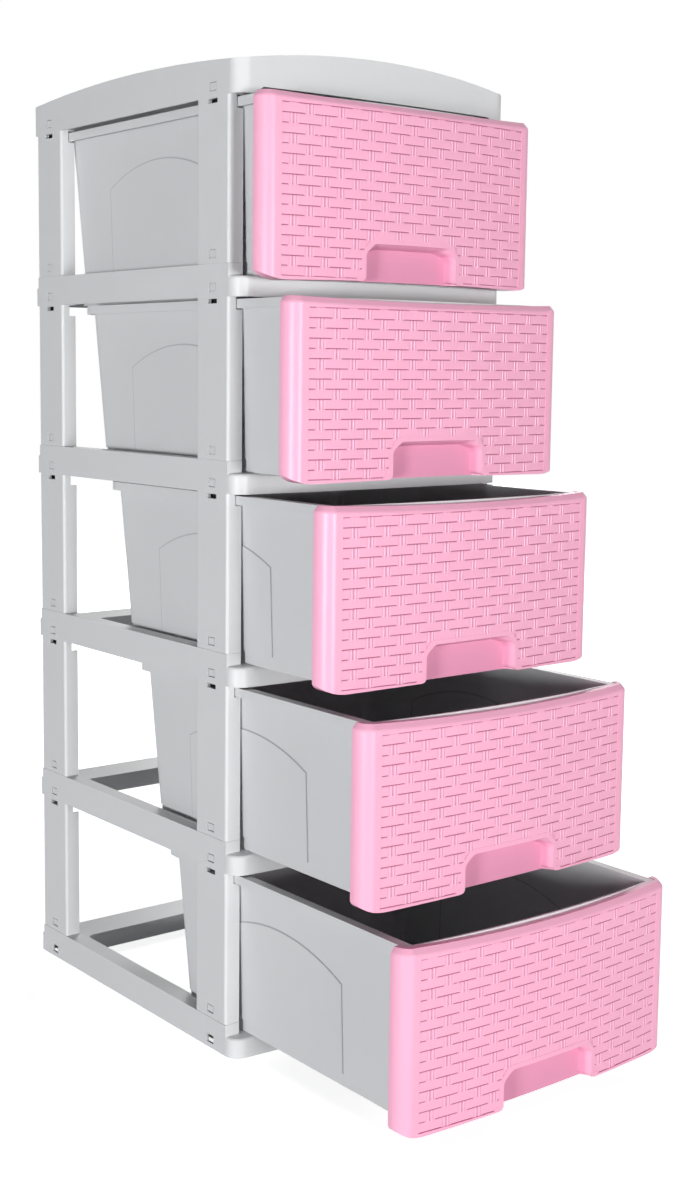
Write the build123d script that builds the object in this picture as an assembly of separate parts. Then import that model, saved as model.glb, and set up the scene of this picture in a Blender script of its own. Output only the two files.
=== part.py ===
"""Plastic drawer tower: five drawers in a stack of ring frames and corner posts.

Frame: X to the right, Y to the rear (the drawers open towards -Y), Z up, in millimetres.
The origin lies on the floor, midway between the outer faces of the corner posts.

The tower is a flat-pack assembly. A base ring, four middle rings and a cover are joined by
four corner posts in each tier. Spigots on the rings stand inside the lower ends of the posts,
and spigots on the posts stand inside the rings and the cover above them. Each spigot has a lug
that snaps into a window. The drawers slide on the ledge of the ring below them.
"""
from build123d import *
import os

os.makedirs("parts", exist_ok=True)

# ---------------------------------------------------------------- driving dimensions
tiers = 5
width = 350.0              # over the outer faces of the left and right posts
depth = 377.0              # over the outer faces of the front and rear posts
pitch = 190.0              # from one ring to the next

# ring frames
ring_height = 32.0         # at the sides, where the posts stand on it
ledge_drop = 12.0          # from the top of the side rim down to the drawer ledge
ring_wall = 2.4
rail_width = 37.0          # side rail, from the outer face to the ring's opening
rear_bar_inset = 37.0      # rear face of the posts to the ring's opening
front_bar_inset = 37.0
nose = 16.0                # the ring runs this far in front of the posts
nose_bow = 5.0             # rise of the bowed front over its chord
nose_corner = 16.0
nose_edge = 3.0            # rounding of the front bar's top edge
lip_edge = 1.0             # bevel of the rear bar's
lip = 10.5                 # the ring runs this far behind the posts
lip_corner = 10.0
opening_corner = 8.0
rib_wall = 2.0
rib_rise = 8.0             # from the bottom of the ring to its ribs
side_ribs = 2              # stiffening ribs under each side rail
bar_ribs = 2               # and under each of the front and rear bars

# corner posts
post_web = 54.0            # along the depth of the tower
post_flange = 17.0         # turned inwards at both edges of the web; the rings' side rims are as wide
post_wall = 2.2
post_corner = 3.0
post_foot_edge = 0.6       # bevel round the foot, which shows as a thin line on the ring
notch_depth = 7.6          # cut from a flange's free edge, for the drawer's rim
notch_height = 12.0
slot_width = 16.0          # moulding slot at the foot of the post's spigot
slot_height = 4.6
slot_drop = 1.4

# snap joints
spigot_wall = 2.0
spigot_leg = 9.0           # of the rings' spigots; the posts' are as short as their notched flanges
spigot_height = 17.0
spigot_root = 8.0          # stretch of a post's spigot that is moulded to its web
fit = 0.25                 # clearance round a spigot
window_width = 12.0
window_height = 8.6
window_rise = 5.3          # above the end of the socket
lug_gap = 1.0              # round a lug in its window
lug_sink = 0.5             # of a lug's face below the outer face

# cover
cover_skirt = 30.0         # height at the four corners
cover_wall = 2.6
side_arch = 10.0           # rise of the top along the sides
front_arch = 16.0          # rise of the top along the front
cover_sections = 5
skirt_lift = 7.0           # the front skirt is cut this much shorter between the corners
skirt_span = 300.0
skirt_corner = 5.0

# drawers
drawer_wall = 2.2
drawer_length = 386.0      # from the end edge of the front panel to the rear of the rim
rim_gap = 1.0              # from the rim to the posts' notches
post_gap = 1.0             # from the drawer's side to the posts' flanges
rim_height = 9.0
rim_drop = 2.0             # from the ring above down to the rim
tub_corner = 16.0          # at the rear
tub_front_corner = 4.0
side_taper = 5.5           # the side wall leans in by this much over its height
rear_taper = 15.0
front_taper = 15.0
foot_height = 13.0
foot_inset = 1.5
slide_gap = 0.3            # from the drawer to the ledge
emboss = 0.8               # height of the arched pad on the side wall
pad_front = 92.0           # from the end edge of the front panel
pad_rear = 290.0
pad_shoulder = 88.0        # height of the pad's corners above the ledge, less the foot
pad_rise = 24.0

# drawer fronts
panel_wrap_x = 15.0        # quarter ellipse round each end
panel_wrap_y = 18.5
panel_bow = 10.0
panel_wall = 2.4
panel_top_drop = 1.0       # from the ring above
panel_lap = 5.0            # the panel hangs in front of the nose by this much
panel_corner_x = 26.0      # elliptical bottom corners, seen from the front
panel_corner_z = 11.0
panel_top_dip = 3.5        # hollow of the top edge
panel_bottom_rise = 2.0
panel_edge_y = 4.5         # rounded top edge, made of two bevels
panel_edge_z = 5.5
panel_crease = 1.0
field_side = 4.5           # sunken field for the woven pattern: from the curved ends
field_foot = 1.5           # from the top of the arched bottom edge
field_head = 0.5           # from the rounded top edge
field_border = 4.5         # from the handle recess
field_depth = 1.0
tub_setback = 8.0          # end edge of the panel to the tub's front wall
tub_bow = 9.5
nose_gap = 0.5             # from the closed panel to the nose
panel_gap = 0.3
pull_width = 118.0         # handle recess, at the bottom edge
pull_top_width = 97.0
pull_height = 38.0
pull_straight = 28.5       # height of its upright sides
pull_depth = 13.0
pull_draft = 20.0          # lean of its walls, in degrees
pull_corner = 8.0
pull_flare = 5.0           # rounding where it meets the bottom edge
clip_spread = 0.7          # place of the clips, as a share of the tub's half width
clip_low = 50.0            # lower clips above the ledge
clip_high = 40.0           # upper clips below the ring above
clip_width = 12.0
clip_arm = 2.0
clip_barb = 1.4
clip_reach = 3.0

# how far each drawer stands open, from the top one down
open_by = [23.0, 67.0, 120.0, 179.0, 236.0]

# ---------------------------------------------------------------- worked-out values
half_w = width / 2
half_d = depth / 2
post_height = pitch - ring_height
ledge_height = ring_height - ledge_drop
nose_y = -half_d - nose
lip_y = half_d + lip
opening_x = half_w - rail_width
opening_front = -half_d + front_bar_inset
opening_rear = half_d - rear_bar_inset

rim_x = half_w - post_flange + notch_depth - rim_gap
side_x = half_w - post_flange - post_gap
rim_top = pitch - rim_drop                         # above the bottom of the drawer's ring
foot_bottom = ledge_height + slide_gap
panel_bottom = ledge_height - panel_lap
panel_top = pitch - panel_top_drop
closed_y = nose_y - nose_gap                       # end edge of a closed panel
field_half = half_w - panel_wrap_x - field_side
field_low = panel_bottom + panel_bottom_rise + field_foot
field_high = panel_top - panel_top_dip - panel_edge_z - panel_crease - field_head
EPS = 0.01                 # by which joined solids sink into each other
OVER = 1.0                 # by which a cutting solid runs past what it cuts
LEAST = 0.5                # smallest corner radius of an outline


def block(x0, x1, y0, y1, z0, z1):
    """Box between two opposite corners."""
    return Pos((x0 + x1) / 2, (y0 + y1) / 2, (z0 + z1) / 2) * Box(abs(x1 - x0), abs(y1 - y0), abs(z1 - z0))


def corner_arc(cx, cy, r, sx, sy):
    """Quarter arc about (cx, cy), on the side of the signs sx and sy, as three points."""
    k = r * 0.5 ** 0.5
    return (cx + sx * r, cy), (cx + sx * k, cy + sy * k), (cx, cy + sy * r)


def plan(x, y_front, y_rear, r_front, r_rear, bow=0.0, grow=0.0, z=0.0):
    """Plan outline: straight sides, a bowed front and a rounded corner at each end."""
    x, y_front, y_rear = x + grow, y_front - grow, y_rear + grow
    r_front, r_rear = max(r_front + grow, LEAST), max(r_rear + grow, LEAST)
    fl = corner_arc(-x + r_front, y_front + r_front, r_front, -1, -1)
    fr = corner_arc(x - r_front, y_front + r_front, r_front, 1, -1)
    rr = corner_arc(x - r_rear, y_rear - r_rear, r_rear, 1, 1)
    rl = corner_arc(-x + r_rear, y_rear - r_rear, r_rear, -1, 1)
    if bow:
        front = ThreePointArc(fl[2], (0, y_front - bow), fr[2])
    else:
        front = Line(fl[2], fr[2])
    edges = [ThreePointArc(*fl), front, ThreePointArc(*fr[::-1]), Line(fr[0], rr[0]),
             ThreePointArc(*rr), Line(rr[2], rl[2]), ThreePointArc(*rl[::-1]), Line(rl[0], fl[0])]
    return Pos(0, 0, z) * make_face(edges)


def prism(face, height):
    """Face extruded upwards."""
    return extrude(face, amount=height, dir=(0, 0, 1))


def four_corners(piece):
    """The piece made for the front left post, and its copies at the other three posts."""
    left = [piece, piece.mirror(Plane.XZ)]
    return left + [p.mirror(Plane.YZ) for p in left]


def channel_c(outer, wall, leg, z0, z1):
    """C section at the front left post: a web and two legs, set in from the outer faces."""
    x0, y0, y1 = -half_w + outer, -half_d + outer, -half_d + post_web - outer
    web = block(x0, x0 + wall, y0, y1, z0, z1)
    legs = [block(x0, x0 + leg, y, y + wall, z0, z1) for y in (y0, y1 - wall)]
    return web + legs


def lug(z_end, depth_in):
    """Snap lug that stands out from a spigot into its window, above the end at z_end."""
    mid = -half_d + post_web / 2
    half = window_width / 2 - lug_gap
    z0 = z_end + window_rise + lug_gap
    return block(-half_w + lug_sink, -half_w + depth_in, mid - half, mid + half,
                 z0, z0 + window_height - 2 * lug_gap)


def window(z_end, through):
    """Window for a lug, cut through a wall above the end at z_end."""
    mid = -half_d + post_web / 2
    return block(-half_w - OVER, -half_w + through + OVER, mid - window_width / 2, mid + window_width / 2,
                 z_end + window_rise, z_end + window_rise + window_height)


def socket(z1):
    """Walls under a ring or the cover that box in the spigot of the post below."""
    x0, x1 = -half_w + ring_wall / 2, -half_w + post_flange
    y0, y1 = -half_d, -half_d + post_web
    walls = block(x1 - ring_wall, x1, y0, y1, 0, z1)
    walls += block(x0, x1, y0, y0 + ring_wall, 0, z1)
    return walls + block(x0, x1, y1 - ring_wall, y1, 0, z1)


# ---------------------------------------------------------------- ring frame
def ring_plan(grow=0.0, z=0.0):
    """Outer outline of the rings and the cover."""
    return plan(half_w, nose_y, lip_y, nose_corner, lip_corner, nose_bow, grow, z)


def make_ring():
    """Ring frame with its bottom at z = 0: an upturned channel bent round the opening."""
    inner = dict(x=opening_x, y_front=opening_front, y_rear=opening_rear,
                 r_front=opening_corner, r_rear=opening_corner)
    body = prism(ring_plan(), ledge_height)
    front = body & block(-width, width, 2 * nose_y, -half_d, -OVER, pitch)
    rear = body & block(-width, width, half_d, 2 * lip_y, -OVER, pitch)
    body -= front + rear
    body += fillet([e for e in front.edges() if e.center().Z > ledge_height - EPS
                    and e.center().Y < -half_d - EPS], nose_edge)
    body += chamfer([e for e in rear.edges() if e.center().Z > ledge_height - EPS
                     and e.center().Y > half_d + EPS], lip_edge)
    rim_in = half_w - post_flange
    for s in (-1, 1):
        body += block(s * half_w, s * rim_in, -half_d, half_d, 0, ring_height)
    body -= prism(plan(**inner, z=-OVER), ledge_height + 2 * OVER)

    # hollow of the channel, and of the raised side rims
    hollow = prism(ring_plan(-ring_wall, -OVER), ledge_height - ring_wall + OVER)
    hollow -= prism(plan(**inner, grow=ring_wall, z=-2 * OVER), ledge_height + 4 * OVER)
    body -= hollow
    inside_top = ledge_height - ring_wall
    for s in (-1, 1):
        body -= block(s * (half_w - ring_wall), s * (rim_in + ring_wall), -half_d + ring_wall,
                      half_d - ring_wall, inside_top - OVER, ring_height - ring_wall)

    # sockets below and spigots above
    body += four_corners(socket(ring_height - ring_wall / 2))
    offset = post_wall + fit
    spigot = channel_c(offset, spigot_wall, spigot_leg, ring_height - EPS, ring_height + spigot_height)
    body += four_corners(spigot + lug(ring_height, offset + EPS))

    # stiffening ribs across the channel
    ribs = []
    end = ring_wall / 2
    side_span = depth - 2 * post_web
    for i in range(side_ribs):
        y = -side_span / 2 + side_span * (i + 0.5) / side_ribs
        ribs += [block(s * (half_w - end), s * (opening_x + end), y - rib_wall / 2, y + rib_wall / 2,
                       rib_rise, inside_top + end) for s in (-1, 1)]
    bar_span = 2 * (opening_x - opening_corner)
    for i in range(bar_ribs):
        x = -bar_span / 2 + bar_span * (i + 0.5) / bar_ribs
        ribs += [block(x - rib_wall / 2, x + rib_wall / 2, y0, y1, rib_rise, inside_top + end)
                 for y0, y1 in ((nose_y + end, opening_front - end), (opening_rear + end, lip_y - end))]
    body += ribs
    return body - four_corners(window(0, ring_wall))


# ---------------------------------------------------------------- corner post
def make_post():
    """Front left post with its foot at z = 0: a C channel with notched flanges."""
    x0, y0, y1 = -half_w, -half_d, -half_d + post_web
    post = block(x0, x0 + post_flange, y0, y1, 0, post_height)
    corners = [e for e in post.edges().filter_by(Axis.Z) if e.center().X < x0 + EPS]
    post = fillet(corners, post_corner)
    foot = [e for e in post.edges() if e.center().Z < EPS and e.center().X < x0 + post_flange - EPS]
    post = chamfer(foot, post_foot_edge)
    post -= block(x0 + post_wall, x0 + post_flange + OVER, y0 + post_wall, y1 - post_wall,
                  -OVER, post_height + OVER)
    notch_x = x0 + post_flange - notch_depth
    post -= block(notch_x, x0 + post_flange + OVER, y0 - OVER, y1 + OVER,
                  post_height - notch_height, post_height + OVER)

    # the spigot is a tube that rises from a root moulded to the web
    root = post_height - slot_drop - slot_height
    offset = ring_wall + fit
    leg = post_flange - notch_depth - offset
    top = post_height + spigot_height
    post += channel_c(offset, spigot_wall, leg, root - spigot_root, top)
    post += block(notch_x - spigot_wall, notch_x, y0 + offset, y1 - offset, root - spigot_root, top)
    post += block(x0 + post_wall - EPS, x0 + offset + EPS, y0 + offset, y1 - offset, root - spigot_root, root)
    post += lug(post_height, offset + EPS)
    mid = (y0 + y1) / 2
    post -= block(x0 - OVER, x0 + offset + spigot_wall + fit, mid - slot_width / 2, mid + slot_width / 2,
                  root, root + slot_height)
    return post - window(0, post_wall)


# ---------------------------------------------------------------- cover
def vault(grow, lower):
    """Solid under the cover's doubly arched top, as a loft of arched sections along Y."""
    x = half_w + grow
    y0, y1 = nose_y - nose_bow + OVER - grow, lip_y + OVER + grow
    mid, half = (y0 + y1) / 2, (y1 - y0) / 2
    sections = []
    for i in range(cover_sections):
        t = -1 + 2 * i / (cover_sections - 1)
        edge_z = cover_skirt + side_arch * (1 - t * t) - lower
        left, right, crown = (-x, edge_z), (x, edge_z), (0, edge_z + front_arch)
        edges = [ThreePointArc(left, crown, right), Line(right, (x, -OVER)), Line((x, -OVER), (-x, -OVER)),
                 Line((-x, -OVER), left)]
        sections.append(Plane(origin=(0, mid + half * t, 0), x_dir=(1, 0, 0), z_dir=(0, -1, 0))
                        * make_face(edges))
    return loft(sections)


def make_cover():
    """Cover with its rim at z = 0: a shallow box with an arched top, open below."""
    tall = cover_skirt + side_arch + front_arch + OVER
    body = prism(ring_plan(), tall) & vault(2 * OVER, 0)
    body -= prism(ring_plan(-cover_wall, -OVER), tall) & vault(2 * OVER, cover_wall)
    lift = block(-skirt_span / 2, skirt_span / 2, nose_y - nose_bow - OVER, nose_y + nose_corner,
                 -skirt_lift, skirt_lift)
    lift = fillet([e for e in lift.edges().filter_by(Axis.Y) if e.center().Z > 0], skirt_corner)
    body -= lift
    body += four_corners(socket(cover_skirt - cover_wall / 2))
    return body - four_corners(window(0, cover_wall))


# ---------------------------------------------------------------- drawer box
def tub_outline(z, grow=0.0):
    """Plan of the tub at the height z above the bottom of its ring, for a closed drawer."""
    low = foot_bottom + foot_height
    t = (rim_top - z) / (rim_top - low)
    rear = closed_y + drawer_length - (rim_x - side_x) - rear_taper * t
    front = closed_y - tub_setback + front_taper * t
    return plan(side_x - side_taper * t, front, rear, tub_front_corner, tub_corner, tub_bow, grow, z)


def tub_front(x, z):
    """Place of the tub's front face at (x, z), for a closed drawer."""
    t = (rim_top - z) / (rim_top - foot_bottom - foot_height)
    half = side_x - side_taper * t
    return closed_y - tub_setback + front_taper * t - tub_bow * (1 - (x / half) ** 2)


def tub_solid(z0, z1, grow=0.0):
    """Tapered solid between two levels."""
    return loft([tub_outline(z0, grow), tub_outline(z1, grow)])


def make_box():
    """Closed drawer's box, with z measured from the bottom of its ring."""
    low = foot_bottom + foot_height
    foot = prism(tub_outline(low, -foot_inset), foot_height + EPS).moved(Location((0, 0, -foot_height)))
    inner_foot = prism(tub_outline(low, -foot_inset - drawer_wall), foot_height)
    box = foot + tub_solid(low, rim_top)

    # arched pad on both side walls
    y0, y1 = closed_y + pad_front, closed_y + pad_rear
    shoulder = low + pad_shoulder
    arch = [Line((y0, low), (y1, low)), Line((y1, low), (y1, shoulder)),
            ThreePointArc((y1, shoulder), ((y0 + y1) / 2, shoulder + pad_rise), (y0, shoulder)),
            Line((y0, shoulder), (y0, low))]
    arch_face = Plane.YZ * make_face(arch)
    pads = extrude(arch_face, amount=half_w, both=True) & tub_solid(low, rim_top, emboss)
    box += pads

    # turned-over rim along the sides and the rear
    rim_rear = closed_y + drawer_length
    rim_front = closed_y - tub_setback
    reach = rim_x - side_x
    rim_low = rim_top - rim_height
    rim = prism(plan(rim_x, rim_front, rim_rear, LEAST, tub_corner + reach, z=rim_low), rim_height)
    rim -= prism(plan(rim_x - drawer_wall, rim_front - tub_bow, rim_rear - drawer_wall, LEAST,
                      tub_corner + reach - drawer_wall, z=rim_low - OVER), rim_height - drawer_wall + OVER)
    box += rim

    # hollow it, down to the floor
    box -= tub_solid(low, rim_top + OVER, -drawer_wall)
    box -= inner_foot.moved(Location((0, 0, drawer_wall - foot_height)))

    # slots for the clips of the front panel
    for x, z in clip_places():
        box -= block(x - clip_width / 2 - panel_gap, x + clip_width / 2 + panel_gap,
                     rim_front - tub_bow - OVER, rim_front + front_taper + 2 * drawer_wall,
                     z - clip_arm / 2 - panel_gap, z + clip_arm / 2 + panel_gap)
    return box


# ---------------------------------------------------------------- drawer front
def clip_places():
    """Places of the panel's four clips, as (x, z)."""
    x = side_x * clip_spread
    return [(s * x, z) for s in (-1, 1) for z in (ledge_height + clip_low, pitch - clip_high)]


def panel_plan(grow=0.0, back=0.0):
    """Plan of the front: a bowed face with elliptical ends, and a straight back."""
    x, y = half_w + grow, closed_y + back
    rx, ry = panel_wrap_x + grow, panel_wrap_y + grow
    left = EllipticalCenterArc((-x + rx, closed_y), rx, ry, start_angle=180, arc_size=90)
    right = EllipticalCenterArc((x - rx, closed_y), rx, ry, start_angle=270, arc_size=90)
    face = ThreePointArc((-x + rx, closed_y - ry), (0, closed_y - ry - panel_bow), (x - rx, closed_y - ry))
    edges = [left, face, right]
    if back:
        edges += Polyline((x, closed_y), (x, y), (-x, y), (-x, closed_y)).edges()
    else:
        edges += [Line((x, closed_y), (-x, closed_y))]
    return Pos(0, 0, -pitch) * make_face(edges)


def elevation(grow=0.0):
    """Panel seen from the front: hollow top edge, arched bottom edge, elliptical bottom corners."""
    x, z0, z1 = half_w + grow, panel_bottom - grow, panel_top + grow
    rx, rz = panel_corner_x + grow, panel_corner_z + grow
    edges = [EllipticalCenterArc((-x + rx, z0 + rz), rx, rz, start_angle=180, arc_size=90),
             ThreePointArc((-x + rx, z0), (0, z0 + panel_bottom_rise), (x - rx, z0)),
             EllipticalCenterArc((x - rx, z0 + rz), rx, rz, start_angle=270, arc_size=90),
             Line((x, z0 + rz), (x, z1)),
             ThreePointArc((x, z1), (0, z1 - panel_top_dip), (-x, z1)),
             Line((-x, z1), (-x, z0 + rz))]
    return extrude(Plane.XZ * make_face(edges), amount=-2 * closed_y, both=True)


def pull_outline(grow=0.0):
    """Handle recess seen from the front: open at the bottom, where its sides flare out."""
    flare_x = pull_width / 2 + pull_flare
    zf = panel_bottom + panel_bottom_rise * (1 - (flare_x / (half_w - panel_corner_x)) ** 2) + grow
    z0 = panel_bottom - panel_corner_z
    z1, z2 = panel_bottom + pull_straight, panel_bottom + pull_height + grow
    x0, x1, x2 = pull_width / 2 + grow, pull_top_width / 2 + grow, flare_x + grow + OVER
    right = [(x2, z0), (x2, zf), (x0, zf), (x0, z1), (x1, z2)]
    shape = make_face(Polyline(*right, *[(-x, z) for x, z in right[::-1]], close=True))
    shape = fillet([v for v in shape.vertices() if v.Y > zf + OVER], pull_corner + grow)
    return fillet([v for v in shape.vertices() if abs(abs(v.X) - x0) < EPS and v.Y < zf + EPS],
                  pull_flare - grow)


def pull_cut(grow=0.0):
    """Drafted solid of the handle recess, running back from the face."""
    y_start = closed_y - panel_wrap_y - panel_bow
    return extrude(Plane.XZ.offset(-y_start) * pull_outline(grow), amount=-2 * pull_depth, taper=pull_draft)


def bevelled(solid, shrink):
    """Rounding of the top edge, along the face and round both ends, as two bevels."""
    top = max(e.bounding_box().max.Z for e in solid.edges()) - panel_top_dip - 1
    rim = [e for e in solid.edges() if e.center().Z > top and e.center().Y < closed_y - EPS]
    lid = solid.faces().sort_by(Axis.Z)[-1]
    cut = chamfer(rim, panel_edge_y - shrink, panel_edge_z - shrink, reference=lid)
    low = top + 1 - panel_edge_z - shrink
    crease = [e for e in cut.edges() if low - 1 < e.center().Z < low + panel_top_dip + 1
              and e.center().Y < closed_y - panel_wrap_y / 2]
    return chamfer(crease, panel_crease)


def panel_face(x):
    """Place of the panel's face at x, for a closed drawer."""
    return closed_y - panel_wrap_y - panel_bow * (1 - (x / (half_w - panel_wrap_x)) ** 2)


def make_front():
    """Closed drawer's front panel: a bowed shell with a handle recess let into its lower edge."""
    outer = bevelled(prism(panel_plan(), 3 * pitch) & elevation(), 0)
    inner = bevelled(prism(panel_plan(-panel_wall), 3 * pitch) & elevation(-panel_wall),
                     panel_wall * (2 - 2 ** 0.5))
    panel = outer - inner

    # handle recess with its own wall
    solid_face = prism(panel_plan(0, pitch), 3 * pitch)
    wall = (pull_cut(panel_wall) & outer) - solid_face.moved(Location((0, pull_depth + panel_wall, 0)))
    panel += wall
    panel -= pull_cut() - solid_face.moved(Location((0, pull_depth, 0)))

    # sunken field round it
    field = Polyline((-field_half, field_low), (field_half, field_low), (field_half, field_high),
                     (-field_half, field_high), close=True)
    field = make_face(field) - pull_outline(field_border)
    field = extrude(Plane.XZ * field, amount=-2 * closed_y, both=True)
    panel -= field - solid_face.moved(Location((0, field_depth, 0)))

    # clear of the tub, its rim and the nose of the ring below
    low = foot_bottom + foot_height
    panel -= tub_solid(low, panel_top + OVER, panel_gap)
    rim_front = closed_y - tub_setback - panel_gap
    for s in (-1, 1):
        panel -= block(s * (side_x - tub_front_corner - panel_gap), s * (rim_x + panel_gap), rim_front,
                       closed_y + OVER, rim_top - rim_height - panel_gap, panel_top + OVER)
    panel -= prism(ring_plan(nose_gap, -OVER), ledge_height + nose_gap + OVER)

    # clips through the tub's front wall
    for x, z in clip_places():
        y_wall = tub_front(x, z) + drawer_wall + panel_gap
        y_face = panel_face(x) + panel_wall / 2
        clip = block(x - clip_width / 2, x + clip_width / 2, y_face, y_wall + clip_reach,
                     z - clip_arm / 2, z + clip_arm / 2)
        clip += block(x - clip_width / 2, x + clip_width / 2, y_wall + clip_barb / 2, y_wall + clip_reach,
                      z, z + clip_arm / 2 + clip_barb)
        panel += clip
    return panel


# ---------------------------------------------------------------- parts
def save(name, shape, y=0.0, z=0.0):
    """Write one piece, moved to its place, as a STEP file."""
    export_step(shape.moved(Location((0, y, z))), f"parts/{name}.step")


ring = make_ring()
save("base_frame", ring)
for k in range(1, tiers):
    save(f"frame_{k}", ring, z=(tiers - k) * pitch)
save("top_cover", make_cover(), z=tiers * pitch)

post = make_post()
corners = four_corners(post)
for n in range(1, tiers + 1):
    for corner, piece in zip(("front_left", "rear_left", "front_right", "rear_right"), corners):
        save(f"post_{n}_{corner}", piece, z=(tiers - n) * pitch + ring_height)

box = make_box()
front = make_front()
for n, pulled in enumerate(open_by, 1):
    save(f"drawer_{n}_box", box, -pulled, (tiers - n) * pitch)
    save(f"drawer_{n}_front", front, -pulled, (tiers - n) * pitch)
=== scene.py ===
# %% [markdown]
# # A plastic drawer tower
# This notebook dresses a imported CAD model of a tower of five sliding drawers: a stack of grey ring
# frames, corner posts and tubs, with pink fronts that carry a moulded basket weave. The CAD gives every
# piece its place and size, so the work here is the light, the camera, the plastic, and the one surface
# that CAD leaves plain: the weave.

import math

import bpy
import numpy as np
from mathutils import Matrix, Vector


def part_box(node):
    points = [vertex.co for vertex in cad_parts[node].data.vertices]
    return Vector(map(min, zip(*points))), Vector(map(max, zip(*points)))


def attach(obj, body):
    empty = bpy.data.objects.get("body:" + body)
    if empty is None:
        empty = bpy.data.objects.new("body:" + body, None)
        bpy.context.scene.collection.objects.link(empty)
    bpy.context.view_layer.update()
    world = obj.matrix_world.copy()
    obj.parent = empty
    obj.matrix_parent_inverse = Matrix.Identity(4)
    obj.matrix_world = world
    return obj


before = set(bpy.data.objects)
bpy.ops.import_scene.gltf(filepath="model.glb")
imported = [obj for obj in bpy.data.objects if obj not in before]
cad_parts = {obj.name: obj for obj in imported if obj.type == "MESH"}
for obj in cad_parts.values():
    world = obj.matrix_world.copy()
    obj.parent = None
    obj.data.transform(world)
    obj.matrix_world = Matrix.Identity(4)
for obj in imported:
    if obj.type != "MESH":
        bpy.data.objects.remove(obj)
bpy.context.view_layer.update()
MM = 0.001

# %% [markdown]
# ## The camera
# The photograph was taken from the front left, at about two thirds of the tower's height, and the tower
# stands off the middle of the picture. A camera turned towards the tower would show other angles than one
# that is shifted, so the direction comes from the solved view, and a small shift does the framing.

# %% Camera
CAMERA_PLACE = (-1.0838, -1.4904, 0.6930)
CAMERA_YAW = math.radians(37.40)       # from +Y towards +X
CAMERA_PITCH = math.radians(6.52)      # downwards
CAMERA_ROLL = math.radians(0.51)
PICTURE_SIZE = (695, 1200)
FOCAL_PIXELS = 1635.8
PRINCIPAL_SHIFT = (49.94, -45.62)      # pixels from the view's axis to the middle of the picture
SENSOR_HEIGHT = 36.0
FARTHEST = 50                          # metres that the camera sees


def camera_rotation(yaw, pitch, roll):
    """Rotation whose columns are the camera's right, up and backward directions.

    forward = (sin yaw cos pitch, cos yaw cos pitch, -sin pitch), right lies level, up = right x forward,
    and the roll turns right and up about forward.
    """
    forward = Vector((math.sin(yaw) * math.cos(pitch), math.cos(yaw) * math.cos(pitch), -math.sin(pitch)))
    level = Vector((math.cos(yaw), -math.sin(yaw), 0))
    upright = level.cross(forward)
    right = math.cos(roll) * level + math.sin(roll) * upright
    up = -math.sin(roll) * level + math.cos(roll) * upright
    return Matrix((right, up, -forward)).transposed()


camera_data = bpy.data.cameras.new("photo_camera")
camera_data.sensor_fit = "VERTICAL"
camera_data.sensor_height = SENSOR_HEIGHT
camera_data.lens = FOCAL_PIXELS * SENSOR_HEIGHT / PICTURE_SIZE[1]
camera_data.shift_x = PRINCIPAL_SHIFT[0] / PICTURE_SIZE[1]
camera_data.shift_y = PRINCIPAL_SHIFT[1] / PICTURE_SIZE[1]
camera_data.clip_end = FARTHEST
camera = bpy.data.objects.new("photo_camera", camera_data)
bpy.context.scene.collection.objects.link(camera)
camera.matrix_world = Matrix.Translation(CAMERA_PLACE) @ camera_rotation(
    CAMERA_YAW, CAMERA_PITCH, CAMERA_ROLL).to_4x4()
bpy.context.scene.camera = camera
print("lens", round(camera_data.lens, 2),
      "shift", round(camera_data.shift_x, 4), round(camera_data.shift_y, 4))

# %% [markdown]
# ## The floor and the light
# The photograph shows the tower on pure white, with dark insides in the drawers. The lamps stand low for
# that, so that little of their light falls over the drawers' rims. A world and a floor that are white to
# the camera and to mirrored and transmitted rays, and dimmer to all others, keep the backdrop white
# without washing the tower out.

# %% Floor
FLOOR_HALF = 6.0
floor_mesh = bpy.data.meshes.new("floor")
floor_mesh.from_pydata([(-FLOOR_HALF, -FLOOR_HALF, 0), (FLOOR_HALF, -FLOOR_HALF, 0),
                        (FLOOR_HALF, FLOOR_HALF, 0), (-FLOOR_HALF, FLOOR_HALF, 0)], [], [(0, 1, 2, 3)])
floor = bpy.data.objects.new("floor", floor_mesh)
bpy.context.scene.collection.objects.link(floor)
print("floor", 2 * FLOOR_HALF, "m wide")


# %% Small helpers for node trees
def new_material(name):
    """Empty node material and its tree."""
    material = bpy.data.materials.new(name)
    material.use_nodes = True
    material.node_tree.nodes.clear()
    return material, material.node_tree


def add(tree, kind, **settings):
    """Node of that kind, with its properties or input sockets set by name."""
    node = tree.nodes.new(kind)
    for key, value in settings.items():
        if hasattr(node, key):
            setattr(node, key, value)
        else:
            node.inputs[key.replace("_", " ")].default_value = value
    return node


def link_up(tree, *pairs):
    """Link pairs of an output socket and an input socket."""
    for source, target in pairs:
        tree.links.new(source, target)


# %% Arithmetic on sockets
def calculate(tree, operation, first, second=None):
    """Math node on sockets or plain numbers, and its result."""
    node = add(tree, "ShaderNodeMath", operation=operation)
    for socket, value in zip(node.inputs, (first, second)):
        if isinstance(value, (int, float)):
            socket.default_value = value
        elif value is not None:
            tree.links.new(value, socket)
    return node.outputs[0]


def ray_is(tree, *kinds):
    """1 for rays of the named kinds, 0 for all others."""
    light_path = add(tree, "ShaderNodeLightPath")
    answer = light_path.outputs[kinds[0]]
    for kind in kinds[1:]:
        answer = calculate(tree, "MAXIMUM", answer, light_path.outputs[kind])
    return answer


BACKDROP_RAYS = ("Is Camera Ray", "Is Transmission Ray", "Is Glossy Ray")

# %% Floor material
SHADOW_GLOW = 0.80                     # the floor's own light to the camera, near the tower
SHADOW_REACH = (0.30, 0.95)            # metres from the tower's middle over which it rises to white
SEEN_FLOOR = (0.80, 0.80, 0.80, 1)
BOUNCING_FLOOR = (0.65, 0.65, 0.66, 1)

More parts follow.
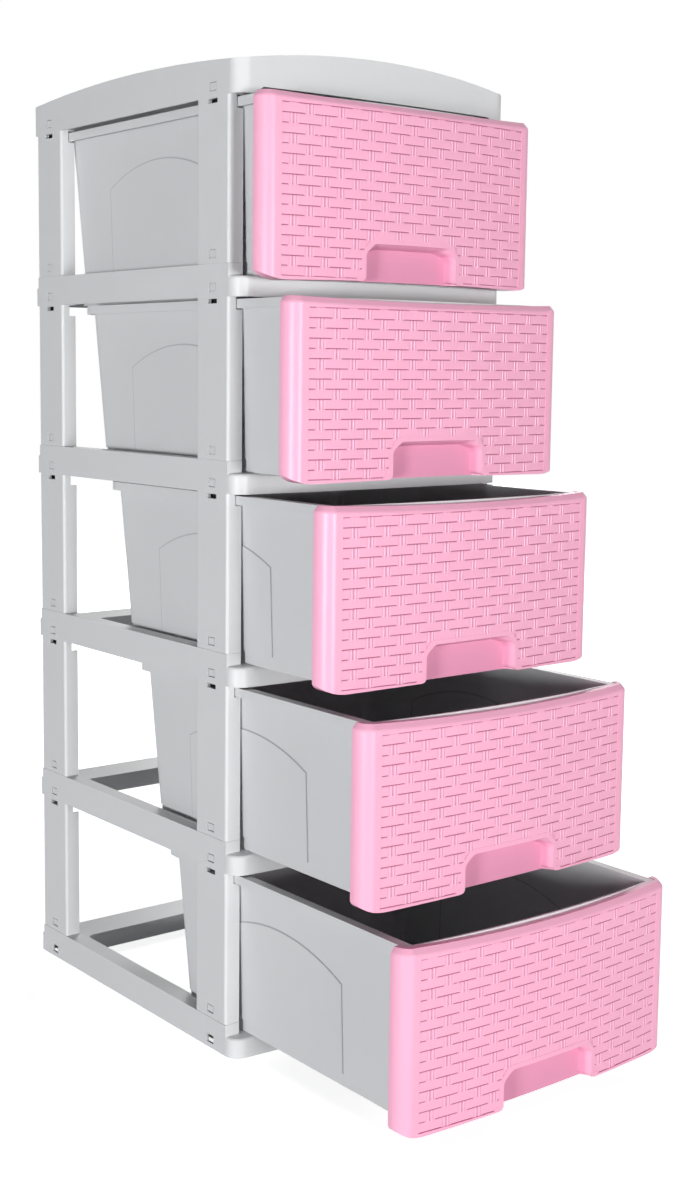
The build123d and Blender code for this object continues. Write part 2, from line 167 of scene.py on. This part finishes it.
floor_look, tree = new_material("pale_floor")
out = add(tree, "ShaderNodeOutputMaterial")
where = add(tree, "ShaderNodeTexCoord")
distance = add(tree, "ShaderNodeVectorMath", operation="LENGTH")
rise = add(tree, "ShaderNodeMapRange", interpolation_type="SMOOTHSTEP")
rise.inputs["From Min"].default_value, rise.inputs["From Max"].default_value = SHADOW_REACH
rise.inputs["To Min"].default_value, rise.inputs["To Max"].default_value = SHADOW_GLOW, 1.0
bouncing = add(tree, "ShaderNodeBsdfDiffuse", Color=BOUNCING_FLOOR)
lit = add(tree, "ShaderNodeBsdfDiffuse", Color=SEEN_FLOOR)
glow = add(tree, "ShaderNodeEmission")
lit_and_glow = add(tree, "ShaderNodeAddShader")
choose = add(tree, "ShaderNodeMixShader")
link_up(tree, (where.outputs["Object"], distance.inputs[0]), (distance.outputs["Value"], rise.inputs["Value"]),
        (rise.outputs[0], glow.inputs["Strength"]), (lit.outputs[0], lit_and_glow.inputs[0]),
        (glow.outputs[0], lit_and_glow.inputs[1]), (ray_is(tree, *BACKDROP_RAYS), choose.inputs[0]),
        (bouncing.outputs[0], choose.inputs[1]), (lit_and_glow.outputs[0], choose.inputs[2]),
        (choose.outputs[0], out.inputs["Surface"]))
floor_mesh.materials.append(floor_look)
print("floor material", floor_look.name)

# %% World
SOFT_COLOUR, SOFT_STRENGTH = (0.93, 0.96, 1.0, 1), 0.05
BACKDROP, BACKDROP_STRENGTH = (1, 1, 1, 1), 1.0

world = bpy.data.worlds.new("white_studio")
bpy.context.scene.world = world
world.use_nodes = True
tree = world.node_tree
tree.nodes.clear()
out = add(tree, "ShaderNodeOutputWorld")
soft = add(tree, "ShaderNodeBackground", Color=SOFT_COLOUR, Strength=SOFT_STRENGTH)
white = add(tree, "ShaderNodeBackground", Color=BACKDROP, Strength=BACKDROP_STRENGTH)
choose = add(tree, "ShaderNodeMixShader")
link_up(tree, (ray_is(tree, *BACKDROP_RAYS), choose.inputs[0]), (soft.outputs[0], choose.inputs[1]),
        (white.outputs[0], choose.inputs[2]), (choose.outputs[0], out.inputs["Surface"]))
print("world", world.name)

# %% Lamps
LIT_POINT = (0, -0.2, 0.5)
LAMPS = (("front_light", (-0.5, -4.6, 0.44), 0.9, 128, (1.0, 0.995, 0.985)),
         ("left_light", (-4.0, -1.9, 0.24), 0.8, 156, (0.97, 0.985, 1.0)),
         ("back_light", (2.6, 2.9, 2.2), 1.2, 90, (1.0, 1.0, 1.0)))


def soft_box(name, place, size, watts, colour):
    """Square area lamp at a place, turned towards the lit point."""
    data = bpy.data.lights.new(name, "AREA")
    data.size = size
    data.energy = watts
    data.color = colour
    lamp = bpy.data.objects.new(name, data)
    bpy.context.scene.collection.objects.link(lamp)
    aim = (Vector(LIT_POINT) - Vector(place)).to_track_quat("-Z", "Y")
    lamp.matrix_world = Matrix.Translation(place) @ aim.to_matrix().to_4x4()


for lamp in LAMPS:
    soft_box(*lamp)
bpy.context.scene.view_settings.view_transform = "Standard"
print("lamps", [lamp[0] for lamp in LAMPS])


# %% [markdown]
# ## Moulded plastic
# The grey and the pink parts are injection-moulded plastic: satin rather than mirror-like, very slightly
# cloudy where the melt flowed, with the faint orange-peel of the tool. Both effects follow the surface at
# a real scale and are shared by all the plastics, so they are one node group with named inputs.

# %% Node group for the plastic's grain
GROUP_NUMBERS = (("Cloud size", 0.05), ("Cloud depth", 0.04), ("Grain size", 0.0012),
                 ("Roughness", 0.4), ("Roughness change", 0.08))
CLOUD_DETAIL, GRAIN_DETAIL = 3.0, 1.0
MEAN_NOISE = 0.5


def plastic_grain_group():
    """Group that gives a tinted colour, a roughness and a bump height from Object coordinates."""
    group = bpy.data.node_groups.new("moulded_plastic", "ShaderNodeTree")
    face = group.interface
    face.new_socket("Colour", in_out="INPUT", socket_type="NodeSocketColor")
    for name, value in GROUP_NUMBERS:
        socket = face.new_socket(name, in_out="INPUT", socket_type="NodeSocketFloat")
        socket.default_value = value
    face.new_socket("Colour", in_out="OUTPUT", socket_type="NodeSocketColor")
    face.new_socket("Roughness", in_out="OUTPUT", socket_type="NodeSocketFloat")
    face.new_socket("Height", in_out="OUTPUT", socket_type="NodeSocketFloat")

    inside = add(group, "NodeGroupInput")
    outside = add(group, "NodeGroupOutput")
    where = add(group, "ShaderNodeTexCoord")

    def noise(size_name, detail):
        """Noise whose features are as large as the named size, in metres."""
        texture = add(group, "ShaderNodeTexNoise", Detail=detail)
        scale = calculate(group, "DIVIDE", 1.0, inside.outputs[size_name])
        link_up(group, (where.outputs["Object"], texture.inputs["Vector"]), (scale, texture.inputs["Scale"]))
        return texture.outputs["Fac"]

    centred = calculate(group, "SUBTRACT", noise("Cloud size", CLOUD_DETAIL), MEAN_NOISE)
    change = calculate(group, "MULTIPLY", centred, inside.outputs["Cloud depth"])
    tinted = add(group, "ShaderNodeVectorMath", operation="SCALE")
    rougher = calculate(group, "MULTIPLY", centred, inside.outputs["Roughness change"])
    link_up(group, (inside.outputs["Colour"], tinted.inputs[0]),
            (calculate(group, "ADD", change, 1.0), tinted.inputs["Scale"]),
            (tinted.outputs[0], outside.inputs["Colour"]),
            (calculate(group, "ADD", rougher, inside.outputs["Roughness"]), outside.inputs["Roughness"]),
            (noise("Grain size", GRAIN_DETAIL), outside.inputs["Height"]))
    return group


moulded_plastic = plastic_grain_group()
print("group", moulded_plastic.name)

# %% [markdown]
# ## Painted shade at lines and hollows of the mould
# Three moulded marks are too small for the light alone to show their shade at this distance, so that shade
# is painted into their colour. The raised pad on each side of a tub ends in a step under a millimetre high,
# and a thin dark line of painted shade in the shape of an arch follows it. The handle recess gets a deeper
# pink of painted shade, and the walls in the hollow behind the slot at a post's head are painted nearly
# black as its shade. All are masks worked out from Object coordinates. A drawer stands where the photograph
# shows it, so the masks on drawers count from two inputs: the place of the front's foremost point, and the
# height of the ring under the drawer.


# %% Helpers for masks
def product(tree, *masks):
    """Product of masks, which is 1 where all of them are."""
    result = masks[0]
    for mask in masks[1:]:
        result = calculate(tree, "MULTIPLY", result, mask)
    return result


def fade(tree, value, start, end):
    """1 below start, 0 above end, smooth between."""
    node = add(tree, "ShaderNodeMapRange", interpolation_type="SMOOTHSTEP")
    tree.links.new(value, node.inputs["Value"])
    node.inputs["From Min"].default_value, node.inputs["From Max"].default_value = start, end
    node.inputs["To Min"].default_value, node.inputs["To Max"].default_value = 1.0, 0.0
    return node.outputs[0]


def object_place(tree):
    """X, Y and Z sockets of the Object coordinates."""
    where = add(tree, "ShaderNodeTexCoord")
    split = add(tree, "ShaderNodeSeparateXYZ")
    link_up(tree, (where.outputs["Object"], split.inputs[0]))
    return split.outputs[0], split.outputs[1], split.outputs[2]


def mask_group(name, mask):
    """Group that puts out a mask, which a function builds from X, Y and Z in the drawer's own space.

    Y is counted from the input Front and Z from the input Ring, both in metres.
    """
    group = bpy.data.node_groups.new(name, "ShaderNodeTree")
    for socket_name in ("Front", "Ring"):
        group.interface.new_socket(socket_name, in_out="INPUT", socket_type="NodeSocketFloat")
    group.interface.new_socket("Mask", in_out="OUTPUT", socket_type="NodeSocketFloat")
    inside = add(group, "NodeGroupInput")
    outside = add(group, "NodeGroupOutput")
    x, y, z = object_place(group)
    behind = calculate(group, "SUBTRACT", y, inside.outputs["Front"])
    height = calculate(group, "SUBTRACT", z, inside.outputs["Ring"])
    link_up(group, (mask(group, x, behind, height), outside.inputs["Mask"]))
    return group


# %% Painted shade line at the edge of the arched pads
PAD_MIDDLE, PAD_HALF = 0.2195, 0.099   # along the drawer, in metres
PAD_SHOULDER, PAD_RISE = 0.1213, 0.024  # height of the arch's ends, and of its crown above them
PAD_FOOT = 0.0333
TUB_WALL = 0.1465                      # the outer side walls of a tub lie further out than this
LINE = (0.00035, 0.0011)               # the line is full up to one distance, and gone at the other


def pad_shade_line(tree, x, behind, height):
    """Thin line of painted shade along the step at the edge of the arched pad on a tub's sides.

    The sides of the outline lie at |y - middle| = half, up to the shoulder. Above it the outline is an arc
    of circle through both shoulders and the crown, with r = (half^2 + rise^2) / 2 rise.
    """
    radius = (PAD_HALF ** 2 + PAD_RISE ** 2) / (2 * PAD_RISE)
    off = calculate(tree, "SUBTRACT", behind, PAD_MIDDLE)
    from_side = calculate(tree, "SUBTRACT", calculate(tree, "ABSOLUTE", off), PAD_HALF)
    up = calculate(tree, "SUBTRACT", height, PAD_SHOULDER + PAD_RISE - radius)
    far = calculate(tree, "SQRT", calculate(tree, "ADD", calculate(tree, "MULTIPLY", off, off),
                                            calculate(tree, "MULTIPLY", up, up)))
    from_arc = calculate(tree, "SUBTRACT", far, radius)
    in_arch = calculate(tree, "GREATER_THAN", height, PAD_SHOULDER)
    under_arch = calculate(tree, "SUBTRACT", 1.0, in_arch)
    nearest = calculate(tree, "ADD", product(tree, calculate(tree, "ABSOLUTE", from_arc), in_arch),
                        product(tree, calculate(tree, "ABSOLUTE", from_side), under_arch))
    return product(tree, fade(tree, nearest, *LINE), calculate(tree, "GREATER_THAN", height, PAD_FOOT),
                   calculate(tree, "GREATER_THAN", calculate(tree, "ABSOLUTE", x), TUB_WALL))


# Group for the painted shade line along the pads' step.
pad_edge_shade = mask_group("pad_edge_shade", pad_shade_line)
print("group", pad_edge_shade.name)

# %% Painted shade in the handle recesses
RECESS_HALF, RECESS_TOP, RECESS_BACK = 0.0595, 0.0535, 0.0150
RECESS_DEPTHS = (0.004, 0.010)         # behind the face, over which the painted shade in the recess deepens


def recess_shade(tree, x, behind, height):
    """1 deep in the handle recess, where its shade is painted, 0 on the face round it."""
    deep = calculate(tree, "SUBTRACT", 1.0, fade(tree, behind, *RECESS_DEPTHS))
    return product(tree, deep, calculate(tree, "LESS_THAN", behind, RECESS_BACK),
                   calculate(tree, "LESS_THAN", calculate(tree, "ABSOLUTE", x), RECESS_HALF),
                   calculate(tree, "LESS_THAN", height, RECESS_TOP))


# Group for the painted shade deep in the handle recesses.
painted_recess_shade = mask_group("painted_recess_shade", recess_shade)
print("group", painted_recess_shade.name)

# %% Painted shade in the slots at the posts' heads
TIER = 0.190                           # from one ring to the next
POST_MIDDLE = 0.1615                   # of a post, from the tower's middle towards the front or the rear
SLOT_SPREAD = 0.013
HOLLOW = (0.16755, 0.17045)            # inside of a post's tube, away from the tower's middle plane
SLOT_BOTTOM = 0.1838                   # above the foot of a tier


def slot_shade(tree):
    """1 on the walls inside a post's tube that its slot lets the eye reach, where the hollow's shade is
    painted nearly black; 0 elsewhere.
    """
    x, y, z = object_place(tree)
    outward = calculate(tree, "ABSOLUTE", x)
    beside = calculate(tree, "SUBTRACT", calculate(tree, "ABSOLUTE", y), POST_MIDDLE)
    return product(tree, calculate(tree, "GREATER_THAN", outward, HOLLOW[0]),
                   calculate(tree, "LESS_THAN", outward, HOLLOW[1]),
                   calculate(tree, "GREATER_THAN", calculate(tree, "MODULO", z, TIER), SLOT_BOTTOM),
                   calculate(tree, "LESS_THAN", calculate(tree, "ABSOLUTE", beside), SLOT_SPREAD))


# %% [markdown]
# ## The plastics
# Each plastic is the shared grain on a plain colour, and some have a mask that blends in a second colour,
# which is painted shade.
# A drawer's tub and front each need a material of their own, because their masks count from where that
# drawer stands.

# %% Plastic material
REFRACTION, SHEEN = 1.49, 0.35         # index of refraction, and how strongly the surface mirrors
CLOUD_SIZE, CLOUD_DEPTH = 0.06, 0.05
GRAIN_DEPTH = 0.00003                  # metres


def plastic(name, colour, roughness, mark=None, painted_shade_colour=None):
    """Satin plastic from the shared group; a mark is a function that adds a mask for a second colour of
    painted shade.
    """
    material, tree = new_material(name)
    out = add(tree, "ShaderNodeOutputMaterial")
    shader = add(tree, "ShaderNodeBsdfPrincipled", IOR=REFRACTION, Specular_IOR_Level=SHEEN)
    look = add(tree, "ShaderNodeGroup", node_tree=moulded_plastic)
    look.inputs["Colour"].default_value = (*colour, 1)
    look.inputs["Cloud size"].default_value = CLOUD_SIZE
    look.inputs["Cloud depth"].default_value = CLOUD_DEPTH
    look.inputs["Roughness"].default_value = roughness
    bump = add(tree, "ShaderNodeBump", Distance=GRAIN_DEPTH)
    link_up(tree, (look.outputs["Height"], bump.inputs["Height"]), (bump.outputs[0], shader.inputs["Normal"]),
            (look.outputs["Roughness"], shader.inputs["Roughness"]),
            (shader.outputs[0], out.inputs["Surface"]))
    if mark is None:
        link_up(tree, (look.outputs["Colour"], shader.inputs["Base Color"]))
        return material
    mix = add(tree, "ShaderNodeMix", data_type="RGBA")
    mix.inputs["B"].default_value = (*painted_shade_colour, 1)
    link_up(tree, (mark(tree), mix.inputs["Factor"]), (look.outputs["Colour"], mix.inputs["A"]),
            (mix.outputs["Result"], shader.inputs["Base Color"]))
    return material


# %% Marks of painted shade
DRAWERS = 5


def drawer_mark(group, n):
    """Mark that places a mask group in a material, with the values of drawer n."""
    def place(tree):
        node = add(tree, "ShaderNodeGroup", node_tree=group)
        node.inputs["Front"].default_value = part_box(f"drawer_{n}_front")[0].y
        node.inputs["Ring"].default_value = (DRAWERS - n) * TIER
        return node.outputs["Mask"]
    return place


def groove_shade_mask(tree):
    """The weave's own attribute as a mask of painted shade: 0 on its bands, 1 at the bottom of its slits."""
    depth = add(tree, "ShaderNodeAttribute", attribute_name="groove")
    return depth.outputs["Fac"]


# %% The plastics
GREY, PINK = (0.66, 0.665, 0.675), (0.88, 0.42, 0.58)
# Painted shade: the line at the pads' step, the post slots' hollows, the handle recesses and the weave's
# slits.
PAD_LINE_SHADE, SLOT_SHADE = (0.46, 0.47, 0.49), (0.015, 0.015, 0.017)
RECESS_SHADE_PINK, GROOVE_SHADE = (0.72, 0.29, 0.44), (0.26, 0.04, 0.11)
FRAME_ROUGHNESS, TUB_ROUGHNESS, PINK_ROUGHNESS = 0.42, 0.38, 0.36

grey_frame = plastic("grey_frame_plastic", GREY, FRAME_ROUGHNESS)
# Posts carry painted shade, nearly black, in the hollows behind their slots.
grey_posts = plastic("grey_post_plastic", GREY, FRAME_ROUGHNESS, slot_shade, SLOT_SHADE)
# The weave carries painted shade in its slits, from the groove attribute.
pink_weave = plastic("pink_weave_plastic", PINK, PINK_ROUGHNESS, groove_shade_mask, GROOVE_SHADE)
# Tubs carry the painted shade line along their pads' step.
grey_tubs = {n: plastic(f"grey_tub_plastic_{n}", GREY, TUB_ROUGHNESS, drawer_mark(pad_edge_shade, n), PAD_LINE_SHADE)
             for n in range(1, DRAWERS + 1)}
# Fronts carry painted shade deep in their handle recesses.
pink_fronts = {n: plastic(f"pink_front_plastic_{n}", PINK, PINK_ROUGHNESS,
                          drawer_mark(painted_recess_shade, n), RECESS_SHADE_PINK) for n in range(1, DRAWERS + 1)}
print("plastics", 3 + len(grey_tubs) + len(pink_fronts))

# %% Plastics on the CAD pieces
for name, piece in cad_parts.items():
    if name.startswith("drawer"):
        n = int(name.split("_")[1])
        look = pink_fronts[n] if name.endswith("_front") else grey_tubs[n]
    else:
        look = grey_posts if name.startswith("post") else grey_frame
    for slot in piece.material_slots:
        slot.material = look
print("dressed", len(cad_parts), "pieces")

# %% [markdown]
# ## The basket weave
# Each front carries a field of moulded basket weave. Flat horizontal bands run in rows, and pairs of thin
# upright ridges cross over a band once in each period, half a period further along in the next row.
# A bump map would show it from the front but not at the edge, so the weave is a real surface: one height
# for each point (x, z) of the front, worked out as whole arrays.

# %% Sizes of a front and of its field, in millimetres
FRONT_HALF = 175.0                     # half the front's width
END_WRAP = 15.0                        # width of an elliptical end
FACE_BOW = 10.0
FIELD_HALF = 155.5                     # half the weave's width
FIELD_BOTTOM = 3.5                     # above the front's lowest edge
FIELD_HEIGHT = 160.0
FIELD_RIM = 0.35                       # groove between the field's edge and its outer bands
PULL_HALF, PULL_TOP = 59.0, 34.5       # handle recess, which the field leaves out
CLEAR = 1.0                            # cells this near to the recess are left out too
SPILL = 1.2                            # the sheet runs this far into the front's wall

# %% Sizes of the weave, in millimetres
ROWS = 17
ROW = (FIELD_HEIGHT - 2 * FIELD_RIM) / ROWS
PERIOD = 35.65                         # between crossings in one row
RELIEF = 1.0                           # heights below are shares of this
SLIT, SLIT_HALF, SLIT_FADE = 0.42, 12.6, 1.6   # half the height, half the length, and how it ends
RIDGE_HALF, RIDGE_FADE = 0.85, 0.7     # half the width of one ridge, and of its flanks
RIDGE_PLACE = 2.05                     # from the middle of a crossing to the middle of a ridge
RIDGE_START = (0.42, 0.40)             # below the slit above: place and length of the ridge's beginning
SUNK_PLACE = (0.62, 0.40)              # the same for its end in the next row, as shares of a row
DIP_HALF, DIP_FADE = 4.0, 1.8          # half the width of the dip in a band under its crossing
BAND_EDGE, BAND_CROWN = 0.52, 0.16     # height of a band at its edges, and how much more in its middle
DIP = 0.55                             # share of a band's height that is lost there
RIDGE_HEIGHT, SUNK_HEIGHT = 0.96, 0.76
LOWEST, SPAN = 0.06, 0.90              # height at the bottom of a slit, and from there to the full height
RIM_LEVEL, RIM_PLACE = 0.08, (0.30, 0.35)   # height of the field's rim, and where it begins to rise
SHADED_BELOW = 0.42                          # lower places than this take on the painted shade of the slits


# %% Height of the weave
def face_depth(x):
    """Distance of the plain face behind the front's foremost point.

    The face is an arc of circle with rise b over the half chord c: r = (c^2 + b^2) / 2b, and the depth is
    r - sqrt(r^2 - x^2).
    """
    c = FRONT_HALF - END_WRAP
    r = (c * c + FACE_BOW * FACE_BOW) / (2 * FACE_BOW)
    return r - np.sqrt(r * r - x * x)


def smooth(edge, width, value):
    """Smooth step from 0 to 1, centred on an edge: 3t^2 - 2t^3 of the clamped place in the width."""
    t = np.clip((value - edge) / width + 0.5, 0, 1)
    return t * t * (3 - 2 * t)


def weave_height(x, z):
    """Height of the weave over the floor of its field, as a share of RELIEF.

    z / ROW splits into a row and the place t in it. The crossings of a row lie at whole periods, or half
    a period off in every second row; d is the distance to the nearest one, and e to the nearest crossing
    of the rows above and below. A band is a low arch over the row. A slit between two rows is centred on
    the crossing of the lower row and fades out before the crossings of the upper one. A crossing is two
    narrow ridges, which start at the slit above, run over the band and sink under the band of the next row.
    """
    place = (z - FIELD_RIM) / ROW
    row = np.clip(np.floor(place), 0, ROWS - 1)
    t = np.clip(place - row, 0, 1)
    phase = x / PERIOD - 0.5 * ((row + 1) % 2)
    d = np.abs(phase - np.round(phase)) * PERIOD
    e = PERIOD / 2 - d
    below, above = t * ROW, (1 - t) * ROW

    def slit(distance, along):
        """1 in a slit, from the distance to its middle line and the distance along it."""
        return (1 - smooth(SLIT, SLIT, distance)) * (1 - smooth(SLIT_HALF, SLIT_FADE, along))

    def ridge(sideways):
        """1 on a ridge beside the middle of a crossing."""
        return 1 - smooth(RIDGE_HALF, RIDGE_FADE, np.abs(sideways - RIDGE_PLACE))

    arch = BAND_EDGE + BAND_CROWN * (1 - (2 * t - 1) ** 4)
    dipped = 1 - DIP * (1 - smooth(DIP_HALF, DIP_FADE, d))
    band = arch * dipped * (1 - slit(below, e)) * (1 - slit(above, d))
    over = RIDGE_HEIGHT * ridge(d) * smooth(*RIDGE_START, above)
    sunk = SUNK_HEIGHT * ridge(e) * smooth(*SUNK_PLACE, t)
    return LOWEST + SPAN * np.maximum(np.maximum(band, over), sunk)


# %% Grid lines, closer together where the surface is steep
ROW_STEPS = np.array([0.0, 0.21, 0.35, 0.49, 0.63, 1.7, 3.3, 4.7, 5.9, 7.6, 8.74, 8.88, 9.02, 9.16])
STRAND_STEPS = np.array([0.0, 0.85, 1.2, 1.55, 2.05, 2.55, 2.9, 3.25, 4.0, 4.9, 5.9, 7.4])
LAST_LINES = (0.45, 0.2)               # before the field's ends
NO_LINES = 0.5                         # regular lines stop this far before them
RIM_LINE = 0.1                         # the same for the line inside the upper and lower edge

rows = (np.arange(ROWS)[:, None] * ROW + ROW_STEPS[None, :]).ravel()
z_lines = np.concatenate([[-SPILL, RIM_LINE], FIELD_RIM + rows,
                          [FIELD_HEIGHT - FIELD_RIM, FIELD_HEIGHT - RIM_LINE, FIELD_HEIGHT + SPILL]])
half_period = np.concatenate([STRAND_STEPS, PERIOD / 2 - STRAND_STEPS[:0:-1]])
starts = np.arange(math.ceil(2 * FIELD_HALF / PERIOD)) * PERIOD / 2
one_side = (starts[:, None] + half_period[None, :]).ravel()
one_side = np.unique(np.round(one_side[one_side < FIELD_HALF - NO_LINES], 4))
one_side = np.concatenate([one_side, [FIELD_HALF - line for line in LAST_LINES], [FIELD_HALF + SPILL]])
x_lines = np.concatenate([-one_side[:0:-1], one_side])
print("weave grid", len(x_lines), "by", len(z_lines))


# %% Mesh of one weave
def weave_arrays():
    """Vertices (x, depth behind the foremost point, z above the field's bottom), faces and groove depths.

    The sheet stays lower than the plain face round its field, so it can run on into the front's wall on
    every side: the wall hides its outline, and the field's own edge cuts it clean. Only cells well inside
    the handle recess are left out.
    """
    x, z = np.meshgrid(x_lines, z_lines, indexing="ij")
    height = weave_height(np.clip(x, -FIELD_HALF, FIELD_HALF), np.clip(z, 0, FIELD_HEIGHT))
    height = RIM_LEVEL + (height - RIM_LEVEL) * smooth(*RIM_PLACE, np.minimum(z, FIELD_HEIGHT - z))
    depth = face_depth(x) + RELIEF * (1 - height)
    points = np.stack([x, depth, z], axis=-1).reshape(-1, 3)
    # How much painted shade a point takes: the lower it lies in a slit, the more.
    groove = np.clip(1 - height / SHADED_BELOW, 0, 1).ravel()
    nx, nz = x.shape
    index = np.arange(nx * nz).reshape(nx, nz)
    cells = np.stack([index[:-1, :-1], index[1:, :-1], index[1:, 1:], index[:-1, 1:]], axis=-1)
    mid_x = (x[:-1, :-1] + x[1:, 1:]) / 2
    mid_z = (z[:-1, :-1] + z[1:, 1:]) / 2
    keep = ~((np.abs(mid_x) < PULL_HALF + CLEAR) & (mid_z < PULL_TOP + CLEAR))
    return points, cells[keep], groove


def mesh_object(name, points, faces):
    """Mesh object from whole arrays with unused vertices dropped, and the numbers of those it kept."""
    used, faces = np.unique(faces, return_inverse=True)
    faces = faces.reshape(-1, 4)
    mesh = bpy.data.meshes.new(name)
    mesh.vertices.add(len(used))
    mesh.vertices.foreach_set("co", points[used].astype(np.float32).ravel())
    mesh.loops.add(faces.size)
    mesh.loops.foreach_set("vertex_index", faces.astype(np.int32).ravel())
    mesh.polygons.add(len(faces))
    mesh.polygons.foreach_set("loop_start", np.arange(0, faces.size, 4, dtype=np.int32))
    mesh.update(calc_edges=True)
    mesh.polygons.foreach_set("use_smooth", np.ones(len(faces), bool))
    piece = bpy.data.objects.new(name, mesh)
    bpy.context.scene.collection.objects.link(piece)
    return piece, used


# %% One weave on each front
points, cells, groove = weave_arrays()
for n in range(1, DRAWERS + 1):
    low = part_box(f"drawer_{n}_front")[0]
    placed = points * MM + np.array([0, low.y, low.z + FIELD_BOTTOM * MM])
    weave, used = mesh_object(f"drawer_{n}_weave", placed, cells)
    # The groove attribute carries the amount of painted shade in the slits.
    layer = weave.data.attributes.new("groove", "FLOAT", "POINT")
    layer.data.foreach_set("value", groove[used].astype(np.float32))
    weave.data.materials.append(pink_weave)
    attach(weave, f"drawer_{n}")
print("cells in a weave", len(cells))
